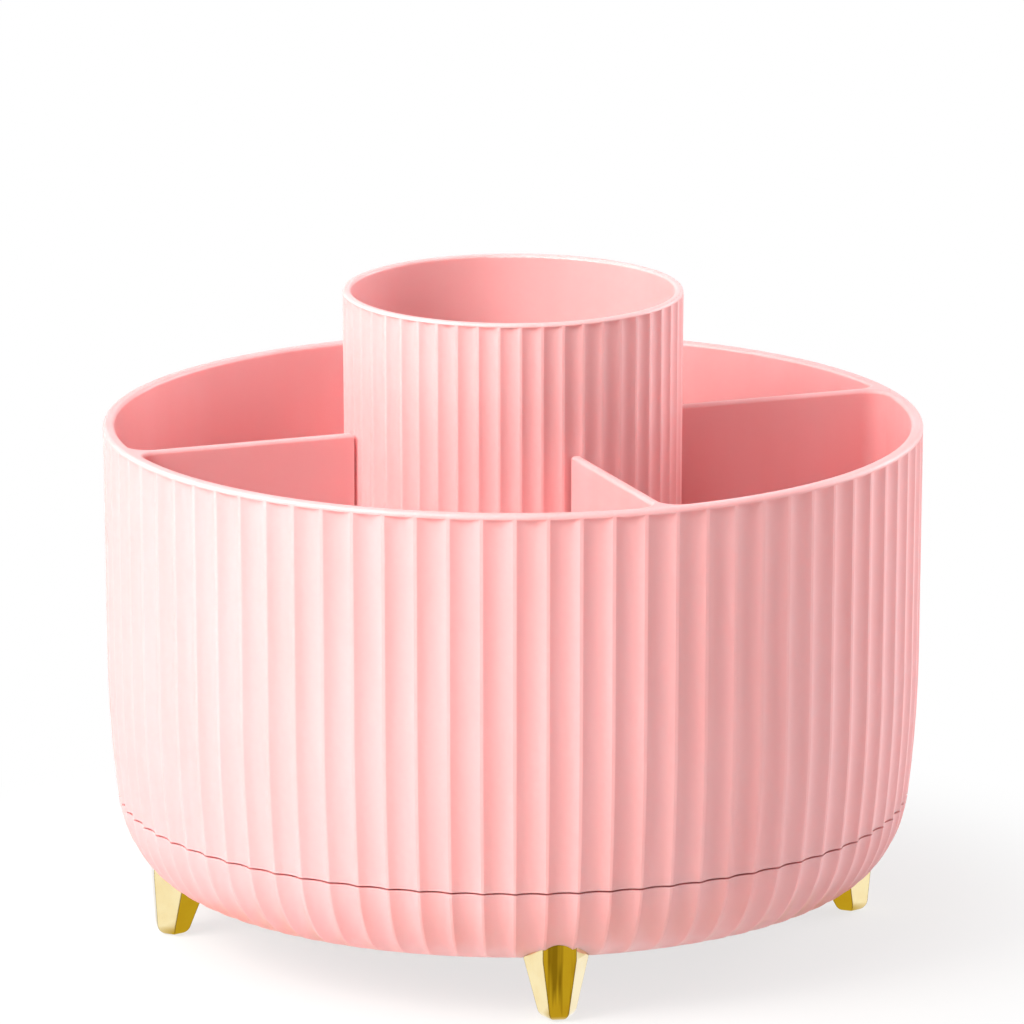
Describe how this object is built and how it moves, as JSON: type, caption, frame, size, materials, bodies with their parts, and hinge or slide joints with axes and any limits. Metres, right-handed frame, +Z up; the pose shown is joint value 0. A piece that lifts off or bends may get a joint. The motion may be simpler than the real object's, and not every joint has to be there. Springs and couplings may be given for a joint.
{
  "type": "rotating makeup organizer",
  "caption": "Round fluted cosmetics drum with open divided compartments and a raised brush cup, turning on a low bowl with tapered feet.",
  "frame": {"origin": "on the table under the middle of the base", "axes": "+Z up along the turning axis, -Y towards the front foot, +X to the right foot"},
  "size_m": [0.206, 0.206, 0.1647],
  "materials": {
    "pink_abs": "satin",
    "gold_plate": "polished gold plating on ABS",
    "white_pom": "natural",
    "zinc_steel": "zinc plated",
    "bearing_steel": "polished",
    "insert_brass": "machined"
  },
  "bodies": {
    "base": {"base_bowl": "pink_abs", "pivot_bush": "white_pom", "pivot_cap": "pink_abs", "lower_race": "zinc_steel", "lower_race_screws": "zinc_steel", "foot_front": "gold_plate", "foot_right": "gold_plate", "foot_back": "gold_plate", "foot_left": "gold_plate", "foot_inserts": "insert_brass", "foot_screws": "zinc_steel"},
    "cage": {"ball_cage": "white_pom", "bearing_balls": "bearing_steel"},
    "drum": {"drum_shell": "pink_abs", "brush_cup": "pink_abs", "cup_screws": "zinc_steel", "upper_race": "zinc_steel", "upper_race_screws": "zinc_steel", "pivot_washer": "zinc_steel", "pivot_screw": "zinc_steel"}
  },
  "joints": [
    {"name": "drum_spin", "type": "hinge", "parent": "base", "child": "drum", "pos_m": [0, 0, 0.0336], "axis": [0, 0, 1], "continuous": true},
    {"name": "cage_spin", "type": "hinge", "parent": "base", "child": "cage", "pos_m": [0, 0, 0.0336], "axis": [0, 0, 1], "continuous": true}
  ],
  "couplings": [
    {"joint": "cage_spin", "follows": "drum_spin", "ratio": 0.5}
  ]
}
